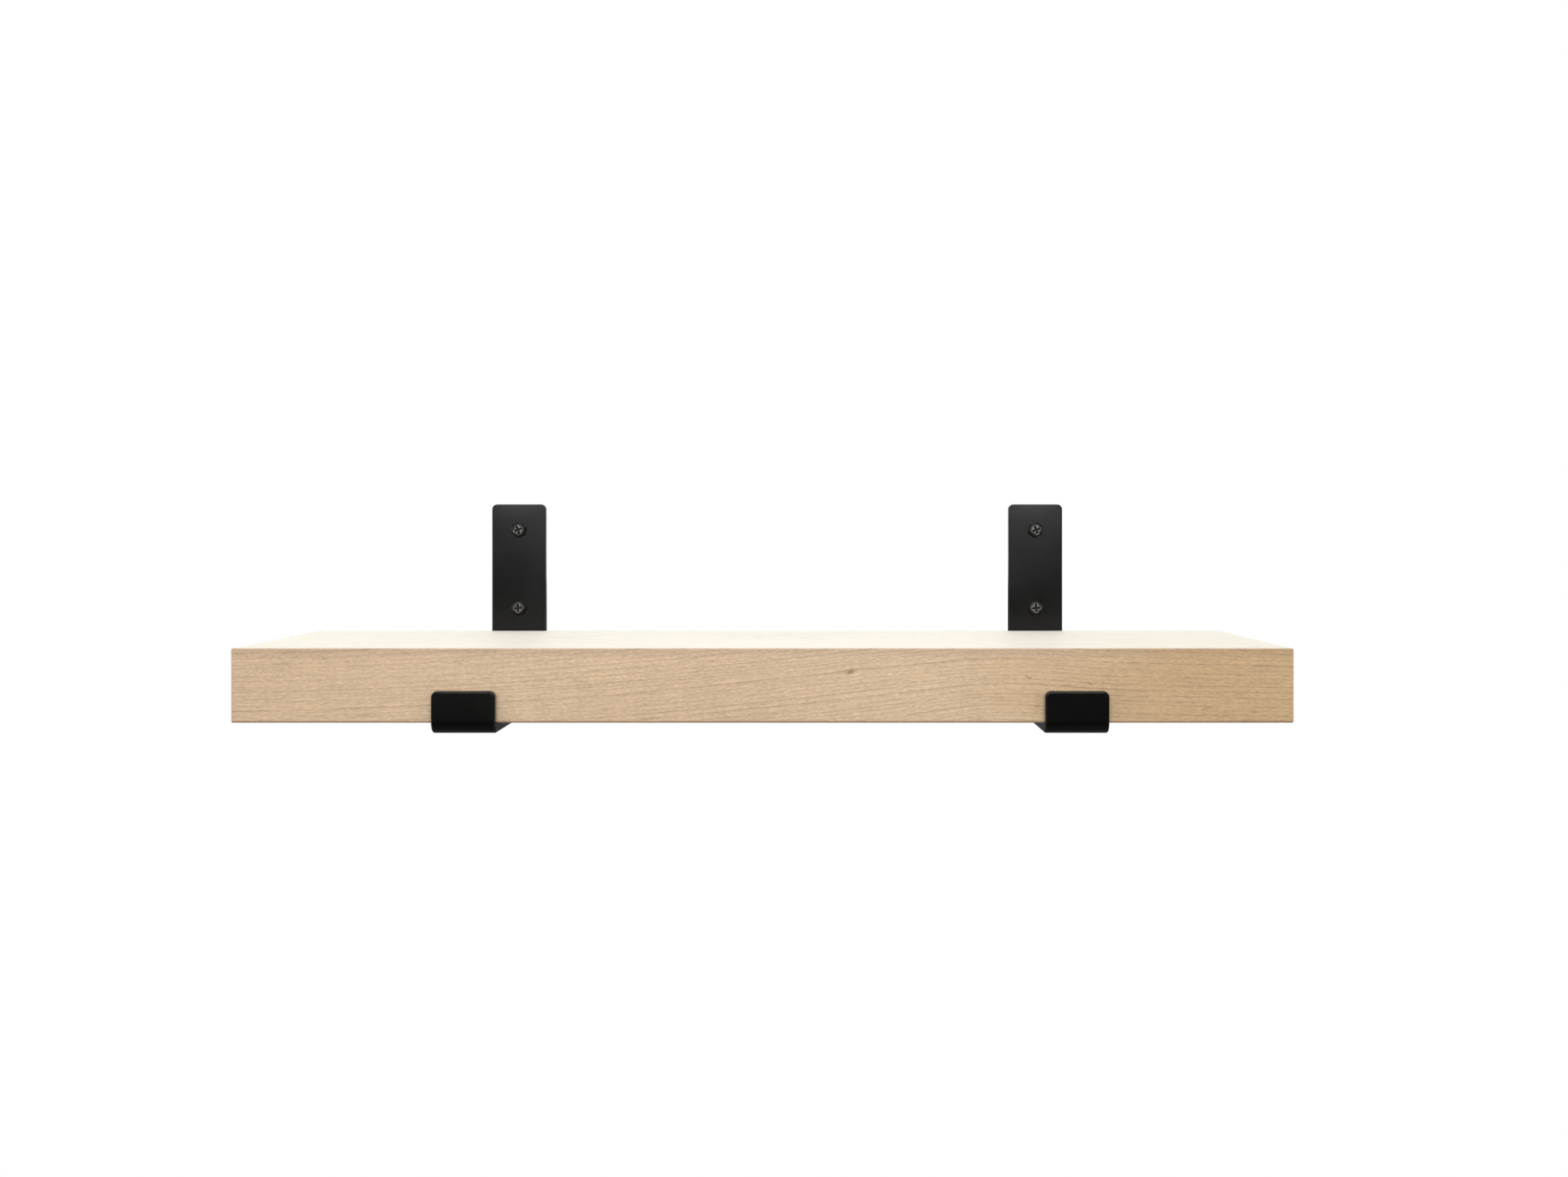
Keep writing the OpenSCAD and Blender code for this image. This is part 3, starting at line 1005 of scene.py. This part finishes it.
def screw_tree():
    """Adds a threaded shank to a screw's head, turns the screw and puts it in its place."""
    inputs = {
        "Geometry": GEOMETRY,
        **{label: sizes[0] * MM for label, sizes in SHANK_SIZES.items()},
        "Turns of thread": 20.0,
        "Place": VECTOR,
        "Way": VECTOR,
        "Head turn": 0.0,
        "Finish": MATERIAL,
    }
    tree, given = new_tree("Threaded screw", SHAPE, inputs)
    pitch, turns = given["Pitch"], given["Turns of thread"]
    corners = {"Vertices X": SHANK_STEPS + 1, "Vertices Y": turns * ROWS_PER_TURN + 1.0}
    sheet = put(tree, "GeometryNodeMeshGrid", {"Size X": 1.0, "Size Y": 1.0, **corners})
    across, along, _ = split(take(put(tree, "GeometryNodeInputPosition")))
    round_share = across + 0.5
    angle = round_share * (2 * math.pi)
    # Rows follow the thread's own slope, so that a crest lies along one row.
    turn = (along + 0.5) * turns - 1.0 + round_share
    depth = (turn * pitch - BURIED).between(-BURIED, given["Length"])
    ridge = (1.0 - ((turn - 0.5).fraction() - 0.5).size() * (2 / RIDGE_SHARE)).most(0.0)
    ridge = ridge.least(1.0 - RIDGE_FLAT) / (1.0 - RIDGE_FLAT)

    neck_end = given["Neck length"]
    shank_end = neck_end + given["Shank length"]
    narrowing = ((given["Length"] - depth) / given["Point length"]).between(0.0, 1.0)
    starting = ((depth - shank_end) / pitch).between(0.0, 1.0)
    height = (given["Thread radius"] - given["Root radius"]) * starting
    threaded = (given["Root radius"] + height * ridge) * narrowing ** POINT_CURVE
    in_shank = depth.ramp(neck_end, neck_end + STEP_LENGTH)
    in_thread = depth.ramp(shank_end, shank_end + STEP_LENGTH)
    radius = given["Neck radius"] * (1.0 - in_shank) + given["Shank radius"] * in_shank
    radius = radius * (1.0 - in_thread) + threaded * in_thread
    # Both ends close on the axis: the point, and the end that is buried in the head.
    radius = radius * (turn * ROWS_PER_TURN).between(0.0, 1.0)
    rolled = combine(radius * angle.cos(), -(radius * angle.sin()), -depth)
    shank = put(tree, "GeometryNodeSetPosition", {"Geometry": take(sheet, "Mesh"), "Position": rolled})
    joined = put(tree, "GeometryNodeMergeByDistance", {"Geometry": take(shank), "Distance": SEAM})
    smooth = put(tree, "GeometryNodeSetShadeSmooth", {"Geometry": take(joined)})
    both = put(tree, "GeometryNodeJoinGeometry")
    for part in (given["Geometry"], take(smooth)):
        feed(both.inputs[0], part)
    spin = {"Geometry": take(both), "Rotation": combine(0.0, 0.0, given["Head turn"])}
    turned = put(tree, "GeometryNodeTransform", spin)
    move = {"Geometry": take(turned), "Rotation": given["Way"], "Translation": given["Place"]}
    return give_shape(tree, take(put(tree, "GeometryNodeTransform", move)), given["Finish"])


def setting_name(label):
    """The name in code of the setting with this label."""
    return label.lower().replace(" ", "_")


def make_screws(kind, head_kind, screw, head, turns, way, axis, underside, groups):
    """Four screws alike. Way is their rotation, and underside is where their heads' undersides are along
    an axis. Turns gives each row of screws its name and the angle of its heads."""
    tree = screw_tree()
    finish = screw_material(f"{kind.capitalize()} screw black", screw, groups)
    values = {label: getattr(screw, setting_name(label)) for label in SHANK_SIZES}
    values["Turns of thread"] = math.ceil((screw.length + BURIED) / screw.pitch) + 1.0
    for side, (row, turn) in itertools.product(SIDES, turns.items()):
        node = f"{side}_{row}_{kind}_screw"
        place = [(low + high) / 2 for low, high in zip(*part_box(node))]
        place[axis] = underside
        made = new_object(f"{side}_{row}_{head_kind}_screw", head(screw))
        add_nodes(made, tree, {**values, "Place": place, "Way": way, "Head turn": turn, "Finish": finish})
        settle(made, SCREW_CREASE)
        hand_over(made, f"{kind}_screw_black", node)


def make_wall_screws(screw, groups):
    """The hexagon-head screws, through the wall plates and into the wall."""
    turns = {"upper": screw.upper_turn, "lower": screw.lower_turn}
    way = (QUARTER_TURN, 0.0, 0.0)
    make_screws("wall", "hex", screw, hexagon_head, turns, way, 1, -STEEL_THICKNESS, groups)


def make_board_screws(screw, groups):
    """The pan-head screws, up through the arms and into the board."""
    turns = {"back": screw.back_turn, "front": screw.front_turn}
    way = (math.pi, 0.0, 0.0)
    make_screws("board", "pan", screw, pan_head, turns, way, 2, STEEL_LOW.z, groups)


# ---------------------------------------------------------------- the stage


def soft_lamp(name, place, target, size, power, colour=(1.0, 1.0, 1.0)):
    """A rectangular softbox that points at a target and isn't seen by the camera."""
    data = bpy.data.lights.new(name, "AREA")
    data.shape = "RECTANGLE"
    data.size, data.size_y = size
    data.energy = power
    data.color = colour
    made = bpy.data.objects.new(name, data)
    made.location = place
    made.rotation_euler = (target - made.location).to_track_quat("-Z", "Y").to_euler()
    made.visible_camera = False
    bpy.context.scene.collection.objects.link(made)


def is_camera_ray(tree):
    """One for what the camera sees itself, and zero for what is lit or mirrored."""
    return take(put(tree, "ShaderNodeLightPath"), "Is Camera Ray")


def make_lamps(stage):
    """A white world that lights only a little, and the softboxes."""
    world = bpy.data.worlds.new("Studio")
    world.use_nodes = True
    tree = world.node_tree
    tree.nodes.clear()
    seen = put(tree, "ShaderNodeBackground", {"Color": WHITE, "Strength": 1.0})
    low = put(tree, "ShaderNodeBackground", {"Color": WHITE, "Strength": stage.fill})
    mixed = put(tree, "ShaderNodeMixShader", {0: is_camera_ray(tree), 1: take(low), 2: take(seen)})
    put(tree, "ShaderNodeOutputWorld", {"Surface": take(mixed)})
    bpy.context.scene.world = world

    for name, setting, place, size in SOFTBOXES:
        soft_lamp(name, BOARD_MIDDLE + Vector(place), BOARD_MIDDLE, size, getattr(stage, setting))
    # The key faces the wall from above the height of the wall screws' middle, so that the upper ends of
    # the wall plates mirror more of it than their lower ends do.
    key_place = Vector((BOARD_MIDDLE.x, -stage.key_distance, stage.key_height / 2 + stage.key_lift))
    key_target = Vector((BOARD_MIDDLE.x, 0.0, key_place.z))
    soft_lamp("Key", key_place, key_target, (stage.key_width, stage.key_height), stage.key)
    place = BOARD_MIDDLE + BACKDROP_PLACE
    soft_lamp("Backdrop", place, BOARD_MIDDLE, BACKDROP_SIZE, stage.backdrop, BACKDROP_COLOUR)


def make_floor(stage):
    """A round pale floor. It glows to the camera alone, so that the black steel mirrors little of it."""
    shape = bmesh.new()
    bmesh.ops.create_circle(shape, cap_ends=True, segments=FLOOR_SIDES, radius=stage.floor_radius)
    middle = BOARD_MIDDLE - Vector((0.0, 0.0, stage.floor_drop))
    bmesh.ops.translate(shape, verts=shape.verts, vec=middle)
    floor = new_object("Floor", shape)
    paint, tree, shader = new_material("Pale floor")
    cloud = noise(take(put(tree, "ShaderNodeTexCoord"), "Object"), FLOOR_CLOUDS)
    feed(shader.inputs["Base Color"], tint(FLOOR_GREY, FLOOR_PALER_GREY, cloud))
    shader.inputs["Roughness"].default_value = FLOOR_ROUGHNESS
    shader.inputs["Emission Color"].default_value = WHITE
    feed(shader.inputs["Emission Strength"], is_camera_ray(tree) * stage.floor_glow)
    floor.data.materials.append(paint)


def make_stage(stage):
    """The lamps, the floor, and a level camera in front of the board."""
    scene = bpy.context.scene
    scene.view_settings.view_transform = "Standard"
    make_lamps(stage)
    make_floor(stage)
    camera = bpy.data.cameras.new("Camera")
    camera.lens = stage.lens
    camera.sensor_width = SENSOR_WIDTH
    camera.shift_x, camera.shift_y = stage.shift
    camera.dof.use_dof = False
    holder = bpy.data.objects.new("Camera", camera)
    holder.location = (
        BOARD_MIDDLE.x + stage.camera_side,
        BOARD_LOW.y - stage.camera_distance,
        BOARD_HIGH.z + stage.camera_height,
    )
    holder.rotation_euler = (QUARTER_TURN, 0.0, 0.0)
    scene.collection.objects.link(holder)
    scene.camera = holder


# ---------------------------------------------------------------- settings


def length_setting(name, description, default):
    words = {"name": name, "description": description}
    return FloatProperty(**words, default=default, min=0.0, unit="LENGTH", precision=5)


def colour_setting(name, description, default):
    return FloatVectorProperty(
        name=name, description=description, default=default, min=0.0, max=1.0, subtype="COLOR"
    )


def angle_setting(name, description, degrees):
    return FloatProperty(name=name, description=description, default=math.radians(degrees), subtype="ANGLE")


def share_setting(name, description, default):
    words = {"name": name, "description": description}
    return FloatProperty(**words, default=default, min=0.0, max=1.0, subtype="FACTOR")


def place_setting(name, description, default):
    """A length that may be negative."""
    return FloatProperty(name=name, description=description, default=default, unit="LENGTH")


def power_setting(name, description, default):
    return FloatProperty(name=name, description=description, default=default, min=0.0, unit="POWER")


class ShelfBoardSettings(bpy.types.PropertyGroup):
    edge_radius: length_setting("Edge radius", "Largest radius of the eased edges", 1.05 * MM)
    edge_waver: share_setting("Edge waver", "How much the radius of the edges wavers", 0.35)
    pilot_radius: length_setting("Pilot radius", "Radius of the pilot holes", 2.45 * MM)
    pilot_depth: length_setting("Pilot depth", "Depth of the pilot holes", 25 * MM)
    ring_spacing: length_setting("Ring spacing", "Distance from one growth ring to the next", 2.35 * MM)
    pith_drop: length_setting("Pith drop", "How far the middle of the tree lies below the board", 230 * MM)
    pith_depth: place_setting("Pith depth", "Where the middle of the tree lies in depth", -85 * MM)
    grain_rise: length_setting("Grain rise", "How far the rings rise along the board", 31 * MM)
    swell_height: length_setting("Swell height", "Height of the arch in the grain", 7 * MM)
    swell_place: share_setting("Swell place", "Place of the arch along the board", 0.725)
    swell_width: share_setting("Swell width", "Width of the arch, as a share of the length", 0.07)
    knot: FloatVectorProperty(
        name="Knot",
        description="Place of the small knot in the front, along and up",
        size=2,
        default=(48 * MM, -57.7 * MM),
        unit="LENGTH",
    )
    knot_size: length_setting("Knot size", "Radius of the small knot", 1.7 * MM)
    pale_wood: colour_setting("Pale wood", "Colour of the early wood", (0.70, 0.512, 0.328))
    late_wood: colour_setting("Late wood", "Colour of the late wood", (0.58, 0.402, 0.247))
    line_wood: colour_setting("Ring line", "Colour of the line that ends a ring", (0.43, 0.28, 0.17))
    warm_wood: colour_setting("Warm wood", "Colour of the warmer clouds", (0.66, 0.457, 0.3))
    heart_wood: colour_setting("Heart wood", "Colour towards the heart of the tree", (0.57, 0.373, 0.18))
    # Painted shade: the colour of the darker band and line along the front's top and bottom edges.
    painted_edge_shade: colour_setting("Grime", "Colour of the painted shade along the front's edges", (0.33, 0.2, 0.125))
    knot_wood: colour_setting("Knot wood", "Colour of the knot", (0.22, 0.14, 0.065))


class ShelfBracketSettings(bpy.types.PropertyGroup):
    bend_radius: length_setting("Bend radius", "Inside radius of the bends", 2 * MM)
    lip_height: length_setting("Lip height", "Height of the lip from the underside of the arm", 25.4 * MM)
    corner_radius: length_setting("Corner radius", "Radius of the strip's corners", 3.5 * MM)
    edge_radius: length_setting("Edge radius", "Radius of the strip's edges", 1.1 * MM)
    hole_edge_radius: length_setting("Hole edge radius", "Radius of the edges of the holes", 0.4 * MM)
    wall_hole_radius: length_setting("Wall hole radius", "Radius of the holes in the wall plate", 3.5 * MM)
    arm_hole_radius: length_setting("Arm hole radius", "Radius of the holes in the arm", 2.75 * MM)
    coat_colour: colour_setting("Coat colour", "Colour of the powder coat", (0.0019, 0.002, 0.0017))
    thin_coat: colour_setting("Thin coat", "Colour of the coat along the edges", (0.012, 0.012, 0.0115))
    coat_roughness: share_setting("Coat roughness", "Roughness of the powder coat", 0.2)


def screw_settings(column):
    """The settings that both kinds of screw have, with the defaults in one column of their tables."""
    sizes = {**HEAD_SIZES, **SHANK_SIZES}
    return {
        setting_name(label): length_setting(label, size[2], size[column] * MM)
        for label, size in sizes.items()
    }


class ShelfWallScrewSettings(bpy.types.PropertyGroup):
    __annotations__ = screw_settings(0)
    head_flats: length_setting("Head flats", "Width of the hexagon across its flats", 9.5 * MM)
    face_radius: length_setting("Face radius", "Radius of the head's flat face", 4 * MM)
    upper_turn: angle_setting("Upper turn", "Angle of the upper heads", 20)
    lower_turn: angle_setting("Lower turn", "Angle of the lower heads", 5)
    colour: colour_setting("Colour", "Colour of the blackened steel", (0.004, 0.004, 0.004))
    bare_colour: colour_setting("Bare colour", "Colour where it is rubbed bright", (0.14, 0.14, 0.132))
    roughness: share_setting("Roughness", "Roughness of the screw", 0.42)


class ShelfBoardScrewSettings(bpy.types.PropertyGroup):
    __annotations__ = screw_settings(1)
    head_radius: length_setting("Head radius", "Radius of the pan head", 4.7 * MM)
    back_turn: angle_setting("Back turn", "Angle of the back heads", 30)
    front_turn: angle_setting("Front turn", "Angle of the front heads", 65)
    colour: colour_setting("Colour", "Colour of the blackened steel", (0.006, 0.006, 0.0065))
    bare_colour: colour_setting("Bare colour", "Colour where it is rubbed bright", (0.3, 0.3, 0.3))
    roughness: share_setting("Roughness", "Roughness of the screw", 0.36)


class ShelfStageSettings(bpy.types.PropertyGroup):
    overhead: power_setting("Overhead", "Power of the overhead softbox", 8.0)
    front: power_setting("Front", "Power of each front softbox", 6.5)
    ends: power_setting("Ends", "Power of each softbox beside the board", 10.0)
    key: power_setting("Key", "Power of the softbox above the camera", 23.0)
    key_distance: length_setting("Key distance", "How far the softbox above the camera is from the wall", 1.9)
    key_width: length_setting("Key width", "Width of the softbox above the camera", 1.2)
    key_height: length_setting("Key height", "Height of the softbox above the camera", 0.9)
    key_lift: length_setting("Key lift", "How far its lower edge is above the wall screws' middle", 0.085)
    backdrop: power_setting("Backdrop", "Power of the softbox behind the wall's place", 24.0)
    fill: share_setting("Fill", "Strength of the light from all round", 0.12)
    floor_drop: length_setting("Floor drop", "How far the floor lies below the board", 1.4)
    floor_radius: length_setting("Floor radius", "Radius of the floor", 1.5)
    floor_glow: share_setting("Floor glow", "How much the floor is brightened for the camera", 0.95)
    lens: FloatProperty(name="Lens", description="Focal length of the camera, in millimetres", default=42.9)
    shift: FloatVectorProperty(
        name="Shift", description="Shift of the camera's frame", size=2, default=(-0.0191, -0.035)
    )
    camera_side: place_setting("Camera side", "How far right of the board's middle it stands", 30.8 * MM)
    camera_distance: length_setting("Camera distance", "Distance from the board's front", 1.116)
    camera_height: length_setting("Camera height", "Height above the board's top", 68.6 * MM)


# ---------------------------------------------------------------- operators and panel

GROUPS = {}


def shared_groups():
    """The shader groups that several materials use, built once."""
    if not GROUPS:
        GROUPS["wear"] = wear_group()
        GROUPS["speckle"] = speckle_group()
    return GROUPS


class SHELF_OT_make_board(bpy.types.Operator):
    """Make the maple board with its eased edges and pilot holes"""

    bl_idname = "shelf.make_board"
    bl_label = "Board"

    def execute(self, context):
        make_board(context.scene.shelf_board, shared_groups())
        return {"FINISHED"}


class SHELF_OT_make_brackets(bpy.types.Operator):
    """Make the two bent steel brackets"""

    bl_idname = "shelf.make_brackets"
    bl_label = "Brackets"

    def execute(self, context):
        make_brackets(context.scene.shelf_bracket, shared_groups())
        return {"FINISHED"}


class SHELF_OT_make_wall_screws(bpy.types.Operator):
    """Make the four hexagon-head wall screws"""

    bl_idname = "shelf.make_wall_screws"
    bl_label = "Wall screws"

    def execute(self, context):
        make_wall_screws(context.scene.shelf_wall_screw, shared_groups())
        return {"FINISHED"}


class SHELF_OT_make_board_screws(bpy.types.Operator):
    """Make the four pan-head screws that hold the board on its arms"""

    bl_idname = "shelf.make_board_screws"
    bl_label = "Board screws"

    def execute(self, context):
        make_board_screws(context.scene.shelf_board_screw, shared_groups())
        return {"FINISHED"}


class SHELF_OT_make_stage(bpy.types.Operator):
    """Set up the floor, the lamps and the camera"""

    bl_idname = "shelf.make_stage"
    bl_label = "Stage"

    def execute(self, context):
        make_stage(context.scene.shelf_stage)
        return {"FINISHED"}


class SHELF_PT_maker(bpy.types.Panel):
    """Lists the steps that make the shelf"""

    bl_label = "Wall Shelf"
    bl_space_type = "VIEW_3D"
    bl_region_type = "UI"
    bl_category = "Shelf"

    def draw(self, context):
        for operator in OPERATORS:
            self.layout.operator(operator.bl_idname)


SETTINGS = {
    "shelf_board": ShelfBoardSettings,
    "shelf_bracket": ShelfBracketSettings,
    "shelf_wall_screw": ShelfWallScrewSettings,
    "shelf_board_screw": ShelfBoardScrewSettings,
    "shelf_stage": ShelfStageSettings,
}
OPERATORS = (
    SHELF_OT_make_board,
    SHELF_OT_make_brackets,
    SHELF_OT_make_wall_screws,
    SHELF_OT_make_board_screws,
    SHELF_OT_make_stage,
)


def register():
    for name, group in SETTINGS.items():
        bpy.utils.register_class(group)
        setattr(bpy.types.Scene, name, PointerProperty(type=group))
    for item in (*OPERATORS, SHELF_PT_maker):
        bpy.utils.register_class(item)


def unregister():
    for item in (SHELF_PT_maker, *reversed(OPERATORS)):
        bpy.utils.unregister_class(item)
    for name, group in reversed(SETTINGS.items()):
        delattr(bpy.types.Scene, name)
        bpy.utils.unregister_class(group)


def main():
    """Makes every piece and the stage."""
    register()
    bpy.ops.shelf.make_board()
    bpy.ops.shelf.make_brackets()
    bpy.ops.shelf.make_wall_screws()
    bpy.ops.shelf.make_board_screws()
    bpy.ops.shelf.make_stage()


if __name__ == "__main__":
    main()
